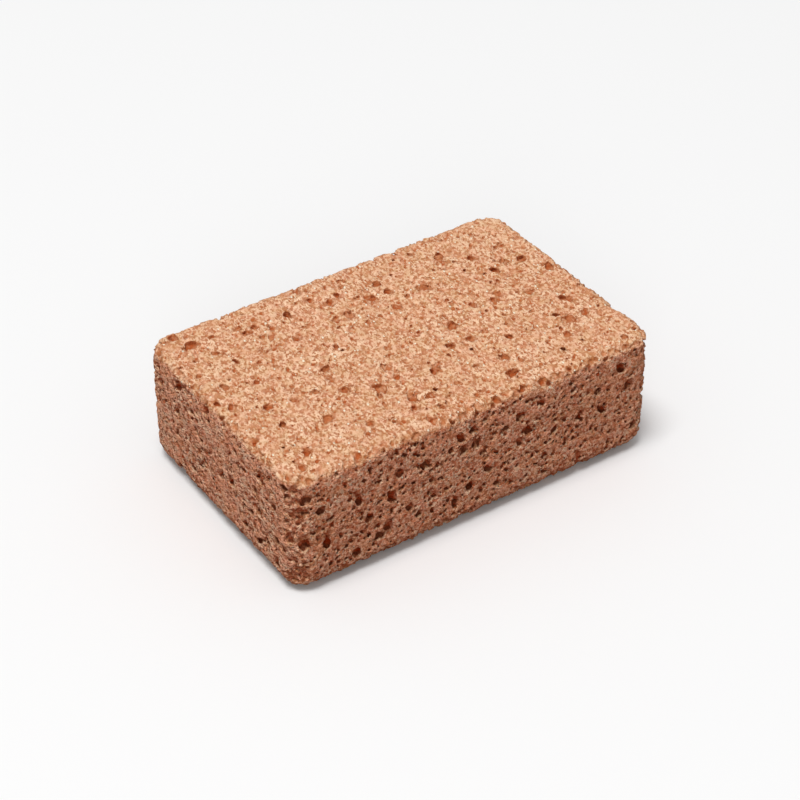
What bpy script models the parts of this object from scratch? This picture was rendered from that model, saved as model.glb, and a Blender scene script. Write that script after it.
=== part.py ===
"""Grout sponge: one rounded block of coarse open-cell foam, cut with its large pores.

Metres, +Z up. +X runs along the length and +Y across the width, away from the long
front face. The origin is the middle of the underside.
"""

import math
import random
from typing import NamedTuple

import bmesh
import bpy
from mathutils import Matrix, Vector
from mathutils.bvhtree import BVHTree

MM = 0.001

# The block
LENGTH = 0.170
WIDTH = 0.110
HEIGHT = 0.055
CORNER_RADIUS = 0.0090
TOP_RIM_RADIUS = 0.0030
BASE_RIM_RADIUS = 0.0080
CORNER_STEPS = 5
RIM_STEPS = 4
RIM_SHARE_LIMIT = 0.9

# The sides lean in towards the top and the base: by how much there, how suddenly, and the
# shares of the way from the middle to the top where their faces bend
TOP_CROWN = 0.0008
BASE_CROWN = 0.0006
CROWN_POWER = 4
CROWN_BENDS = (0.0, 0.40, 0.68)

# A face counts as level, or an edge as upright, where it leans by less than this allows
LEVEL_SHARE = 0.7

# The pores: radii of the round ones, and how far they depart from round
PORE_RADIUS_MIN = 0.0011
PORE_RADIUS_MAX = 0.0021
PORE_RADIUS_BIAS = 2.0
PORE_STRETCH_MAX = 1.35
PORE_LEAN = math.radians(25)
PORE_DEPTH_RANGE = (0.90, 1.35)
PORE_SINK_RANGE = (-0.15, 0.30)
PORE_RAGGEDNESS = 0.10
PORE_WALL = 0.0008
PORE_AREA = 200e-6
PORE_SIDES = 7
LARGE_PORE_SIDES = 8
LARGE_PORE_RADIUS = 0.0018
PORE_RINGS = 3
PORE_TRIES = 60
SEED = 14

# The middle of the top and of the underside has no large pore within this distance
CLEAR_MIDDLE_RADIUS = 0.007

# Pores large enough to know the block by, in millimetres: along the face from its left
# end, up the face from its lower edge, and radius
TOP_PORES = (
    (48.0, 38.5, 1.9), (106.0, 51.0, 2.1), (82.5, 63.3, 2.0), (155.0, 40.3, 2.1),
    (130.0, 93.5, 2.1), (129.0, 87.8, 1.4), (90.0, 84.3, 2.1), (98.0, 84.0, 1.6),
    (77.0, 78.7, 2.1), (70.5, 79.2, 1.8), (112.0, 78.5, 2.2), (157.0, 73.0, 2.0),
    (143.5, 72.5, 1.9), (150.5, 75.5, 1.4), (96.0, 73.5, 1.4), (51.0, 77.5, 1.7),
    (56.0, 93.3, 1.7), (47.0, 89.0, 1.9), (41.5, 93.5, 1.4), (19.0, 87.2, 1.6),
    (14.0, 97.0, 2.0), (80.0, 94.0, 1.5), (85.3, 98.0, 1.3), (85.5, 87.0, 1.3),
    (43.0, 84.0, 1.3), (23.5, 78.5, 1.4), (6.5, 77.5, 1.5), (11.5, 66.0, 1.6),
    (7.0, 53.0, 1.6), (19.0, 46.5, 1.5), (38.5, 44.0, 1.3), (48.0, 48.0, 1.4),
    (60.5, 32.5, 2.1), (57.5, 28.0, 1.4), (69.0, 34.5, 1.4), (66.5, 20.0, 1.7),
    (73.5, 17.0, 1.3), (74.0, 9.5, 1.5), (86.5, 18.5, 1.5), (99.0, 23.5, 1.5),
    (108.0, 38.5, 1.6), (98.0, 40.0, 1.5), (111.0, 21.5, 1.7), (141.0, 19.3, 1.4),
    (147.5, 28.5, 1.9), (156.0, 28.0, 1.5), (133.5, 13.5, 1.2), (16.0, 15.0, 2.0),
    (33.5, 27.5, 1.5), (17.5, 34.0, 1.3), (121.5, 58.0, 1.4), (66.0, 4.5, 1.8),
    (115.0, 108.2, 2.6), (50.0, 108.5, 1.5), (87.0, 107.8, 1.6), (168.4, 44.0, 2.2),
)
FRONT_PORES = (
    (17.8, 33.0, 1.3), (13.0, 38.3, 1.8), (6.0, 45.0, 1.8), (15.0, 21.0, 2.1),
    (33.5, 24.0, 1.8), (29.0, 35.5, 1.9), (44.0, 30.0, 1.8), (44.0, 23.0, 1.3),
    (48.0, 39.5, 1.4), (59.0, 38.5, 1.6), (52.5, 21.5, 1.5), (38.0, 14.0, 1.7),
    (56.0, 16.0, 1.5), (28.0, 9.5, 1.4), (77.0, 38.0, 2.0), (83.3, 38.5, 2.2),
    (75.5, 44.5, 1.7), (82.0, 45.5, 1.4), (71.5, 40.0, 1.4), (96.8, 39.3, 1.6),
    (103.5, 42.0, 1.5), (107.0, 34.2, 1.8), (114.0, 44.7, 1.5), (103.5, 30.0, 1.6),
    (121.0, 29.0, 1.6), (133.5, 30.5, 1.5), (142.0, 38.5, 1.7), (144.0, 28.5, 1.7),
    (128.5, 48.5, 1.7), (152.5, 44.5, 1.6), (139.5, 21.5, 1.4), (126.5, 20.0, 1.4),
    (116.0, 17.5, 1.5), (89.5, 23.0, 1.6), (80.3, 18.5, 1.7), (73.5, 13.5, 1.4),
    (94.0, 13.5, 1.5), (117.0, 9.5, 1.5), (133.5, 10.5, 1.5), (161.5, 13.5, 1.4),
)
LEFT_PORES = (
    (65.5, 27.5, 2.1), (87.0, 44.0, 2.0), (68.0, 44.7, 1.3), (26.0, 49.0, 1.4),
    (25.0, 35.0, 1.6), (39.5, 34.5, 1.4), (84.0, 11.0, 1.7), (90.0, 15.0, 1.4),
    (74.5, 13.5, 1.5), (34.0, 13.5, 1.4), (58.0, 26.0, 1.3), (72.0, 49.5, 1.3),
)


class Face(NamedTuple):
    """One flat side of the block: its lower left corner, seen from outside, and its sides."""

    corner: Vector
    along: Vector
    up: Vector
    span: float
    rise: float
    named_pores: tuple

    @property
    def outward(self):
        return self.along.cross(self.up)

    @property
    def middle(self):
        return self.corner + self.along * self.span / 2 + self.up * self.rise / 2


class Pore(NamedTuple):
    """One burst cell at the surface."""

    centre: Vector
    axis: Vector
    radius: float
    stretch: float
    depth: float
    spin: float


def clear_scene():
    """Removes whatever the file opens with."""
    for item in list(bpy.data.objects):
        bpy.data.objects.remove(item, do_unlink=True)


def new_collection(name):
    """A collection linked to the scene."""
    collection = bpy.data.collections.new(name)
    bpy.context.scene.collection.children.link(collection)
    return collection


def mesh_object(name, bm, collection):
    """An object made from a bmesh."""
    mesh = bpy.data.meshes.new(name)
    bm.to_mesh(mesh)
    bm.free()
    item = bpy.data.objects.new(name, mesh)
    collection.objects.link(item)
    return item


def foam_material():
    """Dull peach-orange foam."""
    material = bpy.data.materials.new("foam")
    material.use_nodes = True
    shader = material.node_tree.nodes["Principled BSDF"]
    shader.inputs["Base Color"].default_value = (0.66, 0.335, 0.195, 1.0)
    shader.inputs["Roughness"].default_value = 0.95
    shader.inputs["Metallic"].default_value = 0.0
    material.diffuse_color = shader.inputs["Base Color"].default_value
    return material


def block_faces():
    """The six sides of the block, with the known pores of the three that have them."""
    left, front, low = -LENGTH / 2, -WIDTH / 2, 0.0
    right, back, high = LENGTH / 2, WIDTH / 2, HEIGHT
    x, y, z = Vector((1, 0, 0)), Vector((0, 1, 0)), Vector((0, 0, 1))
    return (
        Face(Vector((left, front, high)), x, y, LENGTH, WIDTH, TOP_PORES),
        Face(Vector((left, back, low)), x, -y, LENGTH, WIDTH, ()),
        Face(Vector((left, front, low)), x, z, LENGTH, HEIGHT, FRONT_PORES),
        Face(Vector((right, back, low)), -x, z, LENGTH, HEIGHT, ()),
        Face(Vector((left, back, low)), -y, z, WIDTH, HEIGHT, LEFT_PORES),
        Face(Vector((right, front, low)), y, z, WIDTH, HEIGHT, ()),
    )


def rounded_block():
    """The foam before its pores: a box with round corners, then a round rim at each end."""
    bm = bmesh.new()
    size = Matrix.Diagonal((LENGTH, WIDTH, HEIGHT, 1.0))
    bmesh.ops.create_cube(bm, size=1.0, matrix=Matrix.Translation((0, 0, HEIGHT / 2)) @ size)
    bm.normal_update()
    upright = [edge for edge in bm.edges if edge_direction(edge).z > LEVEL_SHARE]
    round_off(bm, upright, CORNER_RADIUS, CORNER_STEPS)

    for way, radius in ((1, TOP_RIM_RADIUS), (-1, BASE_RIM_RADIUS)):
        level = [face for face in bm.faces if face.normal.z * way > LEVEL_SHARE]
        rim = {edge for face in level for edge in face.edges}
        round_off(bm, sorted(rim, key=lambda edge: edge.index),
                  min(radius, RIM_SHARE_LIMIT * CORNER_RADIUS), RIM_STEPS)
    lean_sides(bm)
    return bm


def round_off(bm, edges, radius, steps):
    """Rounds edges to a radius."""
    bmesh.ops.bevel(bm, geom=edges, offset=radius, offset_type="OFFSET", segments=steps,
                    profile=0.5, affect="EDGES", clamp_overlap=True)
    bm.normal_update()
    bm.edges.index_update()


def lean_sides(bm):
    """Draws the sides in from their middle, more and more towards the top and the base."""
    half = HEIGHT / 2
    for share in CROWN_BENDS:
        bmesh.ops.bisect_plane(bm, geom=bm.verts[:] + bm.edges[:] + bm.faces[:],
                               plane_co=(0, 0, half + half * share), plane_no=(0, 0, 1))
    straight = Vector((LENGTH / 2 - CORNER_RADIUS, WIDTH / 2 - CORNER_RADIUS))
    for vert in bm.verts:
        share = vert.co.z / half - 1.0
        crown = TOP_CROWN if share > 0.0 else BASE_CROWN
        middle = Vector((clamped(vert.co.x, straight.x), clamped(vert.co.y, straight.y)))
        outward = vert.co.xy - middle
        if outward.length > 0.0:
            vert.co.xy -= outward.normalized() * crown * abs(share) ** CROWN_POWER
    bm.normal_update()


def clamped(value, limit):
    """The value, held within a limit either side of zero."""
    return max(-limit, min(limit, value))


def edge_direction(edge):
    """Unit direction of an edge, with no sign."""
    step = (edge.verts[1].co - edge.verts[0].co).normalized()
    return Vector((abs(step.x), abs(step.y), abs(step.z)))


def surface_at(surface, face, along, up):
    """The foam's own surface, round edges too, behind a place on one side of the box."""
    outside = face.corner + face.along * along + face.up * up + face.outward * HEIGHT
    place, normal, _, _ = surface.ray_cast(outside, -face.outward)
    return place, normal


def pore_at(surface, face, along, up, radius, rng):
    """A pore whose mouth is on the surface, or None where the box is cut away."""
    place, normal = surface_at(surface, face, along, up)
    if place is None:
        return None
    return Pore(
        centre=place - normal * radius * rng.uniform(*PORE_SINK_RANGE),
        axis=normal,
        radius=radius,
        stretch=rng.uniform(1.0, PORE_STRETCH_MAX),
        depth=radius * rng.uniform(*PORE_DEPTH_RANGE),
        spin=pore_spin(normal, rng),
    )


def pore_spin(normal, rng):
    """Which way a pore is stretched: near the foam's rise, +Z, or any way on a level face."""
    if abs(normal.z) > LEVEL_SHARE:
        return rng.uniform(0.0, math.tau)
    return math.pi / 2 + rng.uniform(-PORE_LEAN, PORE_LEAN)


def reach(pore):
    """How far from its centre a pore can get."""
    widest = pore.radius * math.sqrt(pore.stretch)
    return max(widest, pore.depth) * (1.0 + PORE_RAGGEDNESS)


def has_room(pore, pores, kept_clear):
    """Whether foam is left between this pore, the others and the middles kept clear."""
    if pore is None:
        return False
    for middle in kept_clear:
        if (pore.centre - middle).length < reach(pore) + CLEAR_MIDDLE_RADIUS:
            return False
    for other in pores:
        if (pore.centre - other.centre).length < reach(pore) + reach(other) + PORE_WALL:
            return False
    return True


def scatter_pores(surface, faces, rng):
    """The known pores first, then others between them at the same density all round."""
    kept_clear = [face.middle for face in faces[:2]]
    pores = []
    for face in faces:
        for along, up, radius in face.named_pores:
            pore = pore_at(surface, face, along * MM, up * MM, radius * MM, rng)
            if has_room(pore, pores, kept_clear):
                pores.append(pore)
    for face in faces:
        missing = round(face.span * face.rise / PORE_AREA) - len(face.named_pores)
        for _ in range(max(missing, 0)):
            radius = random_radius(rng)
            for _ in range(PORE_TRIES):
                along = rng.uniform(0.0, face.span)
                up = rng.uniform(0.0, face.rise)
                pore = pore_at(surface, face, along, up, radius, rng)
                if has_room(pore, pores, kept_clear):
                    pores.append(pore)
                    break
    return pores


def random_radius(rng):
    """A pore's radius: small ones are commoner than large ones."""
    share = rng.random() ** PORE_RADIUS_BIAS
    return PORE_RADIUS_MIN + (PORE_RADIUS_MAX - PORE_RADIUS_MIN) * share


def add_pore_cutter(bm, pore, rng):
    """An egg with a ragged outline at the pore's place, its poles on the line into the foam.

    Its two rings share one outline, of the pore's own radius, so the wall between them is
    made of flat faces.
    """
    sides = LARGE_PORE_SIDES if pore.radius > LARGE_PORE_RADIUS else PORE_SIDES
    swells = [1.0 + rng.uniform(-PORE_RAGGEDNESS, PORE_RAGGEDNESS) for _ in range(sides)]
    turn = pore.axis.to_track_quat("Z", "Y").to_matrix().to_4x4()
    spin = Matrix.Rotation(pore.spin, 4, "Z")
    length = pore.radius * math.sqrt(pore.stretch)
    width = pore.radius / math.sqrt(pore.stretch)
    wall = math.sin(math.pi / PORE_RINGS)
    size = Matrix.Diagonal((length / wall, width / wall, pore.depth, 1.0))
    place = Matrix.Translation(pore.centre) @ turn @ spin @ size
    made = bmesh.ops.create_uvsphere(bm, u_segments=sides, v_segments=PORE_RINGS, radius=1.0)
    for vert in made["verts"]:
        side = round(math.atan2(vert.co.y, vert.co.x) / math.tau * sides) % sides
        vert.co.xy *= swells[side]
        vert.co = place @ vert.co


def build():
    """The sponge, and the cutter that stays in the file with it."""
    clear_scene()
    parts = new_collection("grout_sponge")
    cutters = new_collection("cutters")
    rng = random.Random(SEED)

    block = rounded_block()
    surface = BVHTree.FromBMesh(block)
    sponge = mesh_object("sponge", block, parts)
    sponge.data.materials.append(foam_material())

    pore_bm = bmesh.new()
    for pore in scatter_pores(surface, block_faces(), rng):
        add_pore_cutter(pore_bm, pore, rng)
    bmesh.ops.recalc_face_normals(pore_bm, faces=pore_bm.faces)
    pore_cutter = mesh_object("pore_cutter", pore_bm, cutters)
    pore_cutter.hide_render = True
    pore_cutter.display_type = "WIRE"

    cut = sponge.modifiers.new("pores", "BOOLEAN")
    cut.operation = "DIFFERENCE"
    cut.solver = "EXACT"
    cut.object = pore_cutter


build()
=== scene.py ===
"""Grout sponge: the surface of its foam, on a pale floor under soft light. Metres, +Z up."""

import math
from types import SimpleNamespace

import bpy
import numpy as np
import openvdb
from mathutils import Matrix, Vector

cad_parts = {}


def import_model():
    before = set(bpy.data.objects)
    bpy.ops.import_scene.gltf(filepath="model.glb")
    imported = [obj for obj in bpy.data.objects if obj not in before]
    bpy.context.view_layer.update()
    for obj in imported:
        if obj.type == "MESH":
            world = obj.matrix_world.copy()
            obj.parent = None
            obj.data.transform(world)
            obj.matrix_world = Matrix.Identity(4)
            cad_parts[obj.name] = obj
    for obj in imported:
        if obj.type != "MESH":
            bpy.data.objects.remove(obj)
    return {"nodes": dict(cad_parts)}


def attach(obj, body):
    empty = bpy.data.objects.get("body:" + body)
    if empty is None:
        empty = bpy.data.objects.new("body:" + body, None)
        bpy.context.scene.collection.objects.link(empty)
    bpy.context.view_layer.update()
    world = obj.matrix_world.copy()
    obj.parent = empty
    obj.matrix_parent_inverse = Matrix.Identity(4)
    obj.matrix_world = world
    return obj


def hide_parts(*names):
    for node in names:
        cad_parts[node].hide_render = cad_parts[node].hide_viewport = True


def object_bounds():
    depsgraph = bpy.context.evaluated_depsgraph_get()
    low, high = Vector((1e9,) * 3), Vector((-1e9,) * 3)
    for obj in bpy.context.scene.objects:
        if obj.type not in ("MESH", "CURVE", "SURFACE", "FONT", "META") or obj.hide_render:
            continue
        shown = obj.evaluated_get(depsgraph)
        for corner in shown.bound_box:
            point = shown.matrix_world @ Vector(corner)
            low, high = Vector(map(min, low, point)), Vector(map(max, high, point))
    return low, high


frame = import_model()
cad_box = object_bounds()

SEED = 5

# The rounded block that the pores are cut in
CORNER_RADIUS = 0.0090
TOP_RIM_RADIUS = 0.0030
BASE_RIM_RADIUS = 0.0080
TOP_CROWN = 0.0008
BASE_CROWN = 0.0006
CROWN_POWER = 4

# The surface is worked out on a grid of this pitch, known for this many steps to either side
# of it, then thinned to this many triangles
VOXEL = 0.0004
BAND = 5.0
TRIANGLES = 198000

# Pores too many for the solid: the surface for each in metres squared, the range of their
# radii, how far their middles lie below the surface, as shares of the radius, and the shares
# of them kept on faces that look along X, Y and Z
SMALL_PORES = 14e-6, (0.00040, 0.00080), (0.0, 0.7), (0.6, 1.0, 1.0)
MIDDLING_PORES = 23e-6, (0.00064, 0.00108), (0.2, 0.8), (0.2, 0.95, 0.25)

# How strongly small radii are favoured, and how long a pore is in widths
PORE_RADIUS_BIAS = 1.8
PORE_STRETCH = (1.1, 1.8)

# The way that the foam rose, which its cells are longer along, and how far a pore leans off it
PORE_RISE = (0.35, 1.0, -0.5)
PORE_LEAN = 0.30

# The width over which the lip of a pore is rounded
PORE_LIP = 0.00015

# Nicks along the rounded edges, in the same terms as the pores. A place is on an edge where
# its normal's largest part is under this.
NICKS = 4.2e-6, (0.00090, 0.00180), (-0.68, -0.20), (1.0, 1.0, 1.0)
EDGE_TURN = 0.93

# How far the walls of pores wander from an egg's, and over what length
PORE_RAGGEDNESS = 0.00034
PORE_RAGGED_LENGTH = 0.0016

# Unevenness of the cut faces: (wavelength, depth)
WAVES = 0.018, 0.00030
LUMPS = 0.0038, 0.00045
GRAIN = 0.0020, 0.00050

# The grid steps over which a place's hollowness is averaged, and how many times
HOLLOW_STEPS = 5
HOLLOW_ROUNDS = 3

# Cells in the colour: how many in a metre, their radius as a share of their spacing, and the
# share of them that have burst open. The radii of the smallest are this share of the largest's,
# and a cell fades out over its rim. Burst cells get painted shade, and the fleck cells are
# painted glints.
SMALL_CELLS = 1250.0, 0.62, 0.70
MIDDLING_CELLS = 760.0, 0.60, 0.35
LARGE_CELLS = 430.0, 0.50, 0.15
GLINT_CELLS = 850.0, 0.50, 0.10
LEAST_CELL = 0.3
CELL_RIM = 0.22

# Granules in a metre, each noise's waves in a metre and its octaves of finer detail, and how
# far the finest noise bends the rest
GRANULES = 1500.0
GRAIN_NOISE = 820.0, 3.0
BLOB_NOISE = 420.0, 2.0
TINT_NOISE = 260.0, 1.0
PATCH_NOISE = 60.0, 3.0
BEND_NOISE = 900.0, 1.0
BEND = 0.0009

# The share that lengths along the foam's rise are shortened by in the colour's coordinates
RISE_SQUEEZE = 0.42

# Where the colour changes, from and to: onto a side, into an upright corner, into a pore and its
# painted shade, into its painted dark, and out of reach of the painted glints
SIDE_REACH = 0.0, 0.004
CORNER_REACH = -0.004, 0.003
SUNKEN_DEPTHS = 0.0003, 0.0012
DARK_DEPTHS = 0.0010, 0.0030
GLINT_DEPTHS = 0.0002, 0.0008

# The parts of a normal, upward or along X, between which a face turns: off a side and up, out of
# the sides' painted shade; to a steep wall of a pore in a level face, and to the down-facing wall
# of one in a side, both given painted shade; to its lit lip, given painted shade too; and to an
# end of the block
SIDE_TURN = 0.1, 0.7
STEEP_TURN = 0.75, 0.25
DOWN_TURN = -0.15, -0.6
LIP_TURN = 0.1, 0.5
END_TURN = 0.4, 0.9

# The hollowness between which a lip's painted shade, and a cavity's painted shade, sets in
LIP_HOLLOWS = 0.02, 0.10
CAVITY_HOLLOWS = 0.03, 0.24

# The values of each noise between which its colour, or what it brings out, sets in
GRAIN_BAND = 0.38, 0.60
BLOB_BAND = 0.40, 0.60
TINT_BAND = 0.42, 0.62
PATCH_BAND = 0.35, 0.65
CAVITY_BAND = 0.35, 0.62
REDDER_SHADE_BAND = 0.42, 0.58
DARK_BAND = 0.35, 0.60

# What the grain, the granules and the ends of the block add to the tone of the cell walls, and
# the tones of the dark and the pale ones
GRAIN_TONE = 0.5
GRANULE_TONE = 0.5
END_TONE = 0.09
WALL_TONES = 0.25, 0.71

# The most that each colour covers what lies under it
BLOB_SHARE = 0.32
SANDY_SHARE = 0.28
ROSY_SHARE = 0.25
PATCH_SHARE = 0.12
# From here on, shares of painted shade: in cells, deep pores, pores, their walls and the lit lips
CELL_SHARE = 0.8
DEEP_SHARE = 0.85
INSIDE_SHARE = 0.38
PORE_WALL_SHADE_SHARE = 0.7
LIP_SHADE_SHARE = 0.85

# How much painted shade the small and the middling cells get, the hollowness at which a cavity's
# painted shade is a cell's colour and a deep pore's, and the least that the painted shade of
# cavities and dark pores shows, and the most
SMALL_CELL_HOLLOW = 0.52
MIDDLING_CELL_HOLLOW = 0.84
CELL_HOLLOWS = 0.05, 0.55
DEEP_HOLLOWS = 0.45, 1.0
CAVITY_SHOWN = 0.45, 1.0
DARK_SHOWN = 0.4, 0.8

# How much deeper pores look in a side by their painted dark, and how much less the painted shade
# of cavities and the painted dark show in an upright corner, where more light comes in
SIDE_DEPTH_GAIN = 0.4
CORNER_CAVITY_LOSS = 0.4
CORNER_DARK_LOSS = 0.6

# Colours of the foam, and of the shade and glints painted on it, sRGB from 0 to 255
PALE = 255, 216, 181
WALL = 184, 116, 80
END_WALL = 128, 74, 50
# The cell colour is painted shade in burst cells and hollows, and the tone of random patches
CELL_SHADE_AND_PATCH = 200, 132, 90
BLOB = 208, 142, 100
SANDY = 216, 164, 110
ROSY = 240, 170, 138
# Painted shade: inside pores, darker and redder with depth, on their walls, and on lit lips in the
# sides
SHALLOW_PORE_SHADE = 194, 130, 82
REDDER_PORE_SHADE = 172, 96, 60
DEEP_PORE_SHADE = 186, 98, 50
DEEP_SIDE_PORE_SHADE = 182, 84, 40
PORE_WALL_SHADE = 206, 130, 80
SIDE_PORE_WALL_SHADE = 180, 96, 56
SIDE_LIP_SHADE = 124, 64, 42
# Bright specks painted as glints
PAINTED_GLINT = 255, 240, 214
SIDE_PAINTED_GLINT = 255, 206, 178

# Painted shade on the sides: what their colour is multiplied by, red, green and blue, and how much
# its contrast grows on a side, and in a pore there
SIDE_SHADE_GAIN = 1.26, 1.02, 1.07, 1.0
SIDE_SHADE_CONTRAST = 0.12
SIDE_PORE_SHADE_CONTRAST = 0.1

# The bump: its depth, what the grain, blobs, flecks, domes, middling and large cells add to its
# height, its strength on a level face, and what is added to that on a side
BUMP_DEPTH = 0.0012
BUMP_HEIGHTS = 0.7, 0.3, 0.7, -0.5, -0.6, -1.0
BUMP_STRENGTH = 0.5
BUMP_SIDE_STRENGTH = 0.5

# The camera, found by fitting the block's outline, and its aim in the photograph's frame
CAMERA_AZIMUTH = -34.06
CAMERA_ELEVATION = 37.39
CAMERA_DISTANCE = 0.9162
FRAME_PIXELS = 800
FOCAL_PIXELS = 2284.3
OFFSET_PIXELS = (0.60, -7.36)
SENSOR_WIDTH = 36.0

# The studio: the floor's side, the grey that it shows and the grey that it lights things with,
# the even light from all round, and the soft lamps: direction and watts
FLOOR_SIDE = 8.0
FLOOR_SHOWN = 0.93
FLOOR_THROWN = 0.20
ROOM_LIGHT = 0.40
LAMP_DISTANCE = 5.0
LAMP_SIDE = 1.8
OVERHEAD = (-0.24, -0.10, 1.0), 156.0
FRONT = (-0.60, -0.80, 0.45), 30.0


def smooth_max(a, b, width):
    """The larger of two fields, with the crease between them rounded over a width."""
    h = np.clip(0.5 + 0.5 * (a - b) / width, 0.0, 1.0)
    return b + (a - b) * h + width * h * (1.0 - h)


def soft_noise(shape, wavelength, rng):
    """Noise from -1 to 1 on the grid, smooth over a wavelength."""
    cell = wavelength / VOXEL / 2.0
    field = rng.uniform(-1.0, 1.0, [int(n / cell) + 3 for n in shape]).astype(np.float32)
    for axis, count in enumerate(shape):
        place = np.arange(count) / cell
        low = place.astype(int)
        part = (place - low).astype(np.float32)
        part = part * part * (3.0 - 2.0 * part)
        side = [1, 1, 1]
        side[axis] = count
        part = part.reshape(side)
        field = np.take(field, low, axis) * (1.0 - part) + np.take(field, low + 1, axis) * part
    return field


def block_mesh(node):
    """Points and triangles of the solid."""
    mesh = node.data
    mesh.calc_loop_triangles()
    points = np.empty(len(mesh.vertices) * 3, np.float32)
    mesh.vertices.foreach_get("co", points)
    triangles = np.empty(len(mesh.loop_triangles) * 3, np.int32)
    mesh.loop_triangles.foreach_get("vertices", triangles)
    return points.reshape(-1, 3), triangles.reshape(-1, 3)


def distance_field(points, triangles):
    """Distance to the solid's surface on the grid, negative inside, and the grid's first index."""
    grid = openvdb.FloatGrid.createLevelSetFromPolygons(
        points=points, triangles=triangles.astype(np.uint32),
        transform=openvdb.createLinearTransform(voxelSize=VOXEL), halfWidth=BAND)
    low, high = grid.evalActiveVoxelBoundingBox()
    field = np.empty([b - a + 1 for a, b in zip(low, high)], np.float32)
    grid.copyToArray(field, ijk=low)
    return field, np.array(low)


def corners_and_crosses(points, triangles):
    """The triangles' corners, and for each the way out of it, as long as twice its area."""
    corners = points[triangles].astype(float)
    return corners, np.cross(corners[:, 1] - corners[:, 0], corners[:, 2] - corners[:, 0])


def places_on(points, triangles, count, rng):
    """Random places on the surface, and the way out of it at each."""
    corners, crosses = corners_and_crosses(points, triangles)
    areas = np.linalg.norm(crosses, axis=1) / 2
    chosen = rng.choice(len(areas), count, p=areas / areas.sum())
    u, v = rng.random((2, count, 1))
    folded = u + v > 1
    u, v = np.where(folded, 1 - u, u), np.where(folded, 1 - v, v)
    a, b, c = corners[chosen].transpose(1, 0, 2)
    normals = crosses[chosen] / (2 * areas[chosen, None])
    return a + (b - a) * u + (c - a) * v, normals


def surface_area(points, triangles):
    """Area of the solid's surface."""
    _, crosses = corners_and_crosses(points, triangles)
    return np.linalg.norm(crosses, axis=1).sum() / 2


def carve_pores(field, low, points, triangles, family, edges_only, ragged, rng):
    """Cuts one family of pores: cells stretched along the way that the foam rose."""
    area, (least, most), sink, shares = family
    count = int(surface_area(points, triangles) / area)
    places, normals = places_on(points, triangles, count, rng)
    kept = rng.random(count) < normals ** 2 @ np.array(shares)
    if edges_only:
        kept &= np.abs(normals).max(axis=1) < EDGE_TURN
    for place, normal in zip(places[kept], normals[kept]):
        radius = least + (most - least) * rng.random() ** PORE_RADIUS_BIAS
        stretch = rng.uniform(*PORE_STRETCH)
        lean = rng.uniform(-PORE_LEAN, PORE_LEAN, 2)
        rise = np.array(PORE_RISE) + (lean[0], 0.0, lean[1])
        rise /= np.linalg.norm(rise)
        centre = place - normal * radius * rng.uniform(*sink)
        reach = radius * stretch + PORE_LIP + PORE_RAGGEDNESS + VOXEL
        first = np.maximum(np.floor((centre - reach) / VOXEL).astype(int) - low, 0)
        last = np.minimum(np.ceil((centre + reach) / VOXEL).astype(int) - low + 1, field.shape)
        window = tuple(slice(a, b) for a, b in zip(first, last))
        axes = [(np.arange(a, b) + s) * VOXEL - c
                for a, b, s, c in zip(first, last, low, centre)]
        x, y, z = np.meshgrid(*axes, indexing="ij")
        up = x * rise[0] + y * rise[1] + z * rise[2]
        across = x * x + y * y + z * z - up * up
        hole = np.sqrt(across + (up / stretch) ** 2) - radius
        hole += ragged[window] * PORE_RAGGEDNESS
        field[window] = smooth_max(field[window], -hole.astype(np.float32), PORE_LIP)


def foam_field(points, triangles):
    """The foam's distance field: the solid, its finer pores and its uneven cut.

    It is flat where it rests.
    """
    rng = np.random.default_rng(SEED)
    field, low = distance_field(points, triangles)
    ragged = soft_noise(field.shape, PORE_RAGGED_LENGTH, rng)
    for family, edges_only in ((MIDDLING_PORES, False), (SMALL_PORES, False), (NICKS, True)):
        carve_pores(field, low, points, triangles, family, edges_only, ragged, rng)
    for wavelength, depth in (WAVES, LUMPS, GRAIN):
        field += soft_noise(field.shape, wavelength, rng) * (depth / 2)
    heights = (np.arange(field.shape[2]) + low[2]) * VOXEL
    return np.maximum(field, -heights.astype(np.float32)), low


def thinned(mesh, target):
    """A copy of the mesh with its triangles merged down to a target."""
    mesh.calc_loop_triangles()
    holder = bpy.data.objects.new("thinning", mesh)
    bpy.context.scene.collection.objects.link(holder)
    thin = holder.modifiers.new("thin", "DECIMATE")
    thin.ratio = min(1.0, target / len(mesh.loop_triangles))
    thin.use_collapse_triangulate = True
    graph = bpy.context.evaluated_depsgraph_get()
    result = bpy.data.meshes.new_from_object(holder.evaluated_get(graph))
    bpy.data.objects.remove(holder)
    bpy.data.meshes.remove(mesh)
    return result


def within_block(points, size):
    """How points lie in the rounded block, in metres.

    How deep below its surface, how much nearer a side than a level face, and how far into an
    upright corner.
    """
    middle = np.array([0.0, 0.0, size[2] / 2])
    x, y, z = (points - middle).T
    rim = np.where(z > 0, TOP_RIM_RADIUS, BASE_RIM_RADIUS)
    ax = np.abs(x) - size[0] / 2 + CORNER_RADIUS
    ay = np.abs(y) - size[1] / 2 + CORNER_RADIUS
    side = np.hypot(np.maximum(ax, 0), np.maximum(ay, 0)) + np.minimum(np.maximum(ax, ay), 0)
    side += rim - CORNER_RADIUS
    side += np.where(z > 0, TOP_CROWN, BASE_CROWN) * np.abs(2 * z / size[2]) ** CROWN_POWER
    end = np.abs(z) - size[2] / 2 + rim
    outward = np.hypot(np.maximum(side, 0), np.maximum(end, 0))
    outward += np.minimum(np.maximum(side, end), 0)
    return rim - outward, side - end, np.minimum(ax, ay)


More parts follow.
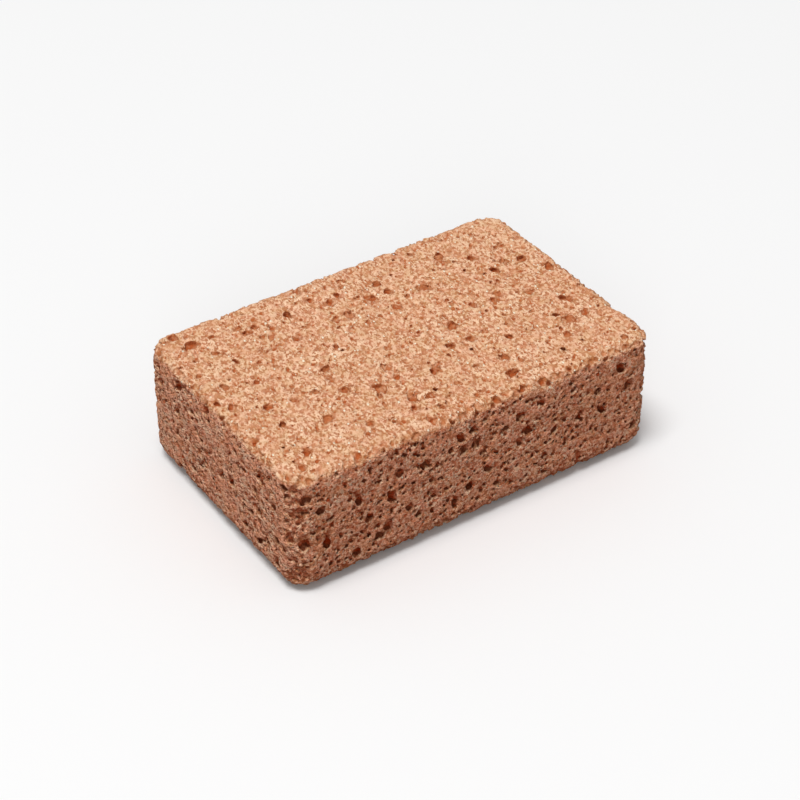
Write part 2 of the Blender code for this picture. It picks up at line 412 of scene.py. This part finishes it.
def box_blurred(field, steps):
    """The field averaged over a cube of grid steps, with nothing outside the grid."""
    for axis in range(3):
        pad = [(0, 0)] * 3
        pad[axis] = (steps // 2 + 1, steps // 2)
        sums = np.cumsum(np.pad(field, pad), axis=axis, dtype=np.float32)
        count = sums.shape[axis]
        field = (np.take(sums, range(steps, count), axis)
                 - np.take(sums, range(count - steps), axis)) / steps
    return field


def hollowness(field):
    """The share of foam around each grid place: a half on a flat face, more in a pore."""
    solid = np.clip(0.5 - field / VOXEL, 0.0, 1.0)
    for _ in range(HOLLOW_ROUNDS):
        solid = box_blurred(solid, HOLLOW_STEPS)
    return solid


def read_at(field, low, points):
    """The field's value at each point, between the grid places around it."""
    place = points / VOXEL - low
    corner = np.floor(place).astype(int)
    corner = np.clip(corner, 0, np.array(field.shape) - 2)
    part = place - corner
    value = 0.0
    for step in np.ndindex(2, 2, 2):
        share = np.prod(np.where(step, part, 1.0 - part), axis=1)
        value = value + share * field[tuple((corner + step).T)]
    return value


def foam_piece(node, size):
    """The sponge's visible surface."""
    points, triangles = block_mesh(node)
    field, low = foam_field(points, triangles)
    grid = openvdb.FloatGrid(BAND * VOXEL)
    grid.transform = openvdb.createLinearTransform(voxelSize=VOXEL)
    grid.copyFromArray(field, ijk=tuple(int(n) for n in low))
    points, triangles, quads = grid.convertToPolygons(isovalue=0.0, adaptivity=0.0)
    mesh = bpy.data.meshes.new("sponge_foam")
    mesh.from_pydata(points, [], quads[:, ::-1].tolist())
    mesh.update()
    mesh = thinned(mesh, TRIANGLES)
    mesh.name = "sponge_foam"
    mesh.shade_smooth()

    places = np.empty(len(mesh.vertices) * 3, np.float32)
    mesh.vertices.foreach_get("co", places)
    places = places.reshape(-1, 3)
    depth, sideways, cornered = within_block(places, size)
    hollow = read_at(hollowness(field), low, places) - 0.5
    for name, values in (("pore_depth", depth), ("sideways", sideways), ("cornered", cornered),
                         ("hollow", hollow)):
        attribute = mesh.attributes.new(name, "FLOAT", "POINT")
        attribute.data.foreach_set("value", values.astype(np.float32))

    piece = bpy.data.objects.new("sponge_foam", mesh)
    bpy.context.scene.collection.objects.link(piece)
    return piece


class Nodes:
    """Short calls for making and joining shader nodes."""

    def __init__(self, tree):
        self.tree = tree

    def add(self, kind, settings=(), **inputs):
        node = self.tree.nodes.new(kind)
        for name, value in dict(settings).items():
            setattr(node, name, value)
        for name, value in inputs.items():
            self.put(node.inputs[name.replace("_", " ")], value)
        return node

    def put(self, socket, value):
        if isinstance(value, bpy.types.NodeSocket):
            self.tree.links.new(value, socket)
        else:
            socket.default_value = value

    def math(self, operation, a, b=0.0, c=0.0):
        node = self.tree.nodes.new("ShaderNodeMath")
        node.operation = operation
        for socket, value in zip(node.inputs, (a, b, c)):
            self.put(socket, value)
        return node.outputs[0]

    def ramp(self, value, low, high, bottom=0.0, top=1.0):
        node = self.tree.nodes.new("ShaderNodeMapRange")
        node.interpolation_type = "SMOOTHSTEP"
        for name, given in (("Value", value), ("From Min", low), ("From Max", high),
                            ("To Min", bottom), ("To Max", top)):
            self.put(node.inputs[name], given)
        return node.outputs[0]

    def mix(self, share, a, b, blend="MIX"):
        node = self.tree.nodes.new("ShaderNodeMix")
        node.clamp_result = True
        node.data_type = "RGBA"
        node.blend_type = blend
        for name, value in ((0, share), (6, a), (7, b)):
            self.put(node.inputs[name], value)
        return node.outputs[2]


def colour(srgb):
    """An sRGB colour, 0 to 255, as a shader's linear one."""
    shares = [value / 255 for value in srgb]
    return tuple(c / 12.92 if c <= 0.04045 else ((c + 0.055) / 1.055) ** 2.4
                 for c in shares) + (1.0,)


def noise(n, place, waves, detail):
    """The outputs of a noise of so many waves in a metre, and octaves of finer detail."""
    return n.add("ShaderNodeTexNoise", Vector=place, Scale=waves, Detail=detail).outputs


def open_cells(n, place, scale, radius, share):
    """Burst cells of one size: 1 in the middle of an open one, 0 between them."""
    cells = n.add("ShaderNodeTexVoronoi", {"feature": "F1"}, Vector=place, Scale=scale).outputs
    chance = n.add("ShaderNodeSeparateColor", Color=cells["Color"]).outputs["Red"]
    size = n.math("MULTIPLY", n.ramp(chance, 1.0 - share, 1.0, LEAST_CELL, 1.0), radius)
    size = n.math("MULTIPLY", size, n.math("GREATER_THAN", chance, 1.0 - share))
    rim = n.math("SUBTRACT", size, CELL_RIM)
    return n.ramp(cells["Distance"], size, rim)


def risen_place(n, place):
    """Coordinates drawn in along the foam's rise, so that what is laid in them is longer there."""
    rise = tuple(Vector(PORE_RISE).normalized())
    along = n.add("ShaderNodeVectorMath", {"operation": "DOT_PRODUCT"})
    n.put(along.inputs[0], place)
    n.put(along.inputs[1], rise)
    shift = n.math("MULTIPLY", along.outputs["Value"], -RISE_SQUEEZE)
    step = n.add("ShaderNodeVectorMath", {"operation": "SCALE"}, Scale=shift)
    n.put(step.inputs[0], rise)
    risen = n.add("ShaderNodeVectorMath", {"operation": "ADD"})
    n.put(risen.inputs[0], place)
    n.put(risen.inputs[1], step.outputs[0])
    return risen.outputs[0]


def bent_place(n, risen):
    """The same coordinates bent, so that no cell is round."""
    bent = n.add("ShaderNodeVectorMath", {"operation": "MULTIPLY_ADD"})
    n.put(bent.inputs[0], noise(n, risen, *BEND_NOISE)["Color"])
    n.put(bent.inputs[1], (BEND, BEND, BEND))
    n.put(bent.inputs[2], risen)
    return bent.outputs[0]


def foam_patterns(n):
    """The patterns of the foam: cells of three sizes, granules, specks painted as glints, and
    noises.
    """
    place = n.add("ShaderNodeTexCoord").outputs["Object"]
    risen = risen_place(n, place)
    bent = bent_place(n, risen)
    granules = n.add("ShaderNodeTexVoronoi", {"feature": "F1"}, Vector=bent, Scale=GRANULES).outputs
    shades = n.add("ShaderNodeSeparateColor", Color=granules["Color"]).outputs
    tint = noise(n, place, *TINT_NOISE)["Color"]
    return SimpleNamespace(
        small=open_cells(n, bent, *SMALL_CELLS),
        middling=open_cells(n, bent, *MIDDLING_CELLS),
        large=open_cells(n, bent, *LARGE_CELLS),
        glint_flecks=open_cells(n, risen, *GLINT_CELLS),
        domes=granules["Distance"],
        granules=shades["Green"],
        grain=noise(n, bent, *GRAIN_NOISE)["Fac"],
        blobs=noise(n, risen, *BLOB_NOISE)["Fac"],
        patch=noise(n, place, *PATCH_NOISE)["Fac"],
        tint=n.add("ShaderNodeSeparateColor", Color=tint).outputs,
    )


def foam_places(n):
    """Where a point lies in the sponge, mostly as shares from 0 to 1.

    upright: on a side, and not on a level face. side: there and not turned up, which gets the
    sides' painted shade. turned: on a steep wall of a pore in a level face, or looking down on a
    side, which gets painted shade. cornered: in an upright corner. sunken: in a pore, which gets
    painted shade. lip: on the lit lower lip of a pore in a side, where painted shade covers the
    light. ends: looking along X. depth is in metres, and hollow is a share of foam above a flat
    face's half.
    """
    def stored(name):
        return n.add("ShaderNodeAttribute", {"attribute_name": name}).outputs["Fac"]

    normal = n.add("ShaderNodeNewGeometry").outputs["Normal"]
    ways = n.add("ShaderNodeSeparateXYZ", Vector=normal).outputs
    upward = ways["Z"]
    depth = stored("pore_depth")
    hollow = stored("hollow")
    upright = n.ramp(stored("sideways"), *SIDE_REACH)
    steep = n.ramp(n.math("ABSOLUTE", upward), *STEEP_TURN)
    lit = n.math("MULTIPLY", n.ramp(hollow, *LIP_HOLLOWS), n.ramp(upward, *LIP_TURN))
    return SimpleNamespace(
        depth=depth,
        hollow=hollow,
        upright=upright,
        side=n.math("MULTIPLY", upright, n.ramp(upward, *SIDE_TURN, 1.0, 0.0)),
        turned=n.mix(upright, steep, n.ramp(upward, *DOWN_TURN)),
        cornered=n.ramp(stored("cornered"), *CORNER_REACH),
        sunken=n.ramp(depth, *SUNKEN_DEPTHS),
        lip=n.math("MULTIPLY", lit, upright),
        ends=n.ramp(n.math("ABSOLUTE", ways["X"]), *END_TURN),
    )


def skin_colour(n, pattern, at):
    """The colour of the cut face: pale cell walls between darker cells, in patches."""
    wall = n.mix(at.ends, colour(WALL), colour(END_WALL))
    tone = n.ramp(pattern.grain, *GRAIN_BAND, 0.0, GRAIN_TONE)
    tone = n.math("MULTIPLY_ADD", pattern.granules, GRANULE_TONE, tone)
    tone = n.math("MULTIPLY_ADD", at.ends, END_TONE, tone)
    base = n.mix(n.ramp(tone, *WALL_TONES), wall, colour(PALE))
    layers = ((pattern.blobs, BLOB_BAND, BLOB_SHARE, BLOB),
              (pattern.tint["Green"], TINT_BAND, SANDY_SHARE, SANDY),
              (pattern.tint["Blue"], TINT_BAND, ROSY_SHARE, ROSY),
              (pattern.patch, PATCH_BAND, PATCH_SHARE, CELL_SHADE_AND_PATCH))
    for noise_value, band, share, srgb in layers:
        base = n.mix(n.ramp(noise_value, *band, 0.0, share), base, colour(srgb))
    return base


def with_pores(n, base, pattern, at):
    """The colour with painted shade in its cells, in its pores and on their steep walls, less of it
    in the upright corners.
    """
    # A noise that varies the painted shade in cells and pores
    shade_tone = pattern.tint["Red"]
    deep = n.mix(at.side, colour(DEEP_PORE_SHADE), colour(DEEP_SIDE_PORE_SHADE))
    # Painted shade in burst cells and hollow places
    cavity = n.math("MAXIMUM", n.math("MULTIPLY", pattern.small, SMALL_CELL_HOLLOW),
                    n.math("MULTIPLY", pattern.middling, MIDDLING_CELL_HOLLOW))
    cavity = n.math("MAXIMUM", cavity, pattern.large)
    cavity = n.math("MAXIMUM", cavity, n.ramp(at.hollow, *CAVITY_HOLLOWS))
    cavity = n.math("MULTIPLY", cavity, n.ramp(shade_tone, *CAVITY_BAND, *CAVITY_SHOWN))
    open_air = n.math("MULTIPLY_ADD", at.cornered, -CORNER_CAVITY_LOSS, 1.0)
    cavity = n.math("MULTIPLY", cavity, open_air)
    base = n.mix(n.ramp(cavity, *CELL_HOLLOWS, 0.0, CELL_SHARE), base, colour(CELL_SHADE_AND_PATCH))
    base = n.mix(n.ramp(cavity, *DEEP_HOLLOWS, 0.0, DEEP_SHARE), base, deep)

    # Painted shade inside a pore, by its depth
    inside = n.mix(n.ramp(shade_tone, *REDDER_SHADE_BAND), colour(SHALLOW_PORE_SHADE), colour(REDDER_PORE_SHADE))
    base = n.mix(n.math("MULTIPLY", at.sunken, INSIDE_SHARE), base, inside)
    # Painted shade on steep walls of pores in level faces, and on down-facing ones in sides
    shaded = n.mix(at.upright, colour(PORE_WALL_SHADE), colour(SIDE_PORE_WALL_SHADE))
    base = n.mix(n.math("MULTIPLY", at.turned, PORE_WALL_SHADE_SHARE), base, shaded)

    # Painted dark deep in the pores, reaching shallower in a side
    gain = n.math("MULTIPLY_ADD", at.upright, SIDE_DEPTH_GAIN, 1.0)
    darkness = n.ramp(n.math("MULTIPLY", at.depth, gain), *DARK_DEPTHS)
    darkness = n.math("MULTIPLY", darkness, n.ramp(shade_tone, *DARK_BAND, *DARK_SHOWN))
    open_air = n.math("MULTIPLY_ADD", at.cornered, -CORNER_DARK_LOSS, 1.0)
    darkness = n.math("MULTIPLY", darkness, open_air)
    return n.mix(darkness, base, deep)


def with_sides(n, base, at):
    """Painted shade on the sides: their colour made redder and more contrasting, and painted shade
    over the lit lips of their pores.
    """
    # Painted shade on the sides: more contrast and a redder tint, left off where they turn up
    contrast = n.math("MULTIPLY_ADD", at.sunken, SIDE_PORE_SHADE_CONTRAST, SIDE_SHADE_CONTRAST)
    gamma = n.math("ADD", n.math("MULTIPLY", at.side, contrast), 1.0)
    base = n.add("ShaderNodeGamma", Color=base, Gamma=gamma).outputs[0]
    base = n.mix(at.side, base, SIDE_SHADE_GAIN, "MULTIPLY")
    # Painted shade over the lit lower lips of the side pores
    return n.mix(n.math("MULTIPLY", at.lip, LIP_SHADE_SHARE), base, colour(SIDE_LIP_SHADE))


def foam_bump(n, pattern, at):
    """The finest relief: grain, and the hollows of the cells. It is stronger on the sides."""
    reliefs = (pattern.grain, pattern.blobs, pattern.glint_flecks, pattern.domes, pattern.middling,
               pattern.large)
    height = 0.0
    for relief, weight in zip(reliefs, BUMP_HEIGHTS):
        height = n.math("MULTIPLY_ADD", relief, weight, height)
    strength = n.math("MULTIPLY_ADD", at.upright, BUMP_SIDE_STRENGTH, BUMP_STRENGTH)
    bump = n.add("ShaderNodeBump", Strength=strength, Distance=BUMP_DEPTH, Height=height)
    return bump.outputs["Normal"]


def foam_material():
    """Peach-orange foam: small cells with pale walls, painted shade, darker and redder, inside its
    pores, and painted glints.
    """
    material = bpy.data.materials.new("foam")
    material.use_nodes = True
    tree = material.node_tree
    tree.nodes.clear()
    n = Nodes(tree)
    pattern = foam_patterns(n)
    at = foam_places(n)
    base = with_sides(n, with_pores(n, skin_colour(n, pattern, at), pattern, at), at)
    # Bright specks painted as glints, kept out of the pores
    clear = n.ramp(at.depth, *GLINT_DEPTHS, 1.0, 0.0)
    pattern.glint_flecks = n.math("MULTIPLY", pattern.glint_flecks, clear)
    base = n.mix(pattern.glint_flecks, base, n.mix(at.side, colour(PAINTED_GLINT), colour(SIDE_PAINTED_GLINT)))

    bump = foam_bump(n, pattern, at)
    shader = n.add("ShaderNodeBsdfPrincipled", Base_Color=base, Normal=bump)
    shader.inputs["Roughness"].default_value = 1.0
    shader.inputs["Specular IOR Level"].default_value = 0.0
    out = n.add("ShaderNodeOutputMaterial")
    tree.links.new(shader.outputs[0], out.inputs["Surface"])
    return material


def grey(value):
    """A linear grey."""
    return (value, value, value, 1.0)


def floor():
    """A wide pale floor, which throws back less light than it shows."""
    bpy.ops.mesh.primitive_plane_add(size=FLOOR_SIDE, location=(0.0, 0.0, 0.0))
    plane = bpy.context.active_object
    plane.name = "floor"
    material = bpy.data.materials.new("floor")
    material.use_nodes = True
    n = Nodes(material.node_tree)
    shown = n.mix(seen_directly(n), grey(FLOOR_THROWN), grey(FLOOR_SHOWN))
    shader = material.node_tree.nodes["Principled BSDF"]
    n.put(shader.inputs["Base Color"], shown)
    shader.inputs["Roughness"].default_value = 1.0
    shader.inputs["Specular IOR Level"].default_value = 0.0
    plane.data.materials.append(material)


def seen_directly(n):
    """1 for what the camera sees, also in gloss and through glass."""
    path = n.add("ShaderNodeLightPath").outputs
    seen = n.math("MAXIMUM", path["Is Camera Ray"], path["Is Glossy Ray"])
    return n.math("MAXIMUM", seen, path["Is Transmission Ray"])


def world(strength):
    """Even light from all round, with white behind."""
    space = bpy.data.worlds.new("studio")
    bpy.context.scene.world = space
    space.use_nodes = True
    n = Nodes(space.node_tree)
    shade = n.mix(seen_directly(n), grey(strength), grey(1.0))
    n.put(space.node_tree.nodes["Background"].inputs["Color"], shade)


def soft_light(name, direction, power):
    """A square lamp that shines on the sponge from a direction."""
    lamp = bpy.data.lights.new(name, "AREA")
    lamp.shape = "SQUARE"
    lamp.size = LAMP_SIDE
    lamp.energy = power
    item = bpy.data.objects.new(name, lamp)
    bpy.context.scene.collection.objects.link(item)
    way = Vector(direction).normalized()
    item.location = way * LAMP_DISTANCE
    item.rotation_euler = way.to_track_quat("Z", "Y").to_euler()


def camera(centre):
    """The photograph's view of the block."""
    data = bpy.data.cameras.new("camera")
    data.sensor_width = SENSOR_WIDTH
    data.lens = FOCAL_PIXELS / FRAME_PIXELS * data.sensor_width
    data.shift_x = -OFFSET_PIXELS[0] / FRAME_PIXELS
    data.shift_y = OFFSET_PIXELS[1] / FRAME_PIXELS
    data.clip_start = 0.01
    item = bpy.data.objects.new("camera", data)
    bpy.context.scene.collection.objects.link(item)
    azimuth, elevation = math.radians(CAMERA_AZIMUTH), math.radians(CAMERA_ELEVATION)
    back = Vector((math.sin(azimuth) * math.cos(elevation),
                   -math.cos(azimuth) * math.cos(elevation), math.sin(elevation)))
    item.location = centre + back * CAMERA_DISTANCE
    item.rotation_euler = back.to_track_quat("Z", "Y").to_euler()
    bpy.context.scene.camera = item


size = cad_box[1] - cad_box[0]
foam = foam_piece(frame["nodes"]["sponge"], size)
foam.data.materials.append(foam_material())
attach(foam, "root")
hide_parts("sponge")

floor()
world(ROOM_LIGHT)
soft_light("overhead", *OVERHEAD)
soft_light("front", *FRONT)
camera((cad_box[0] + cad_box[1]) / 2)
bpy.context.scene.view_settings.view_transform = "Standard"
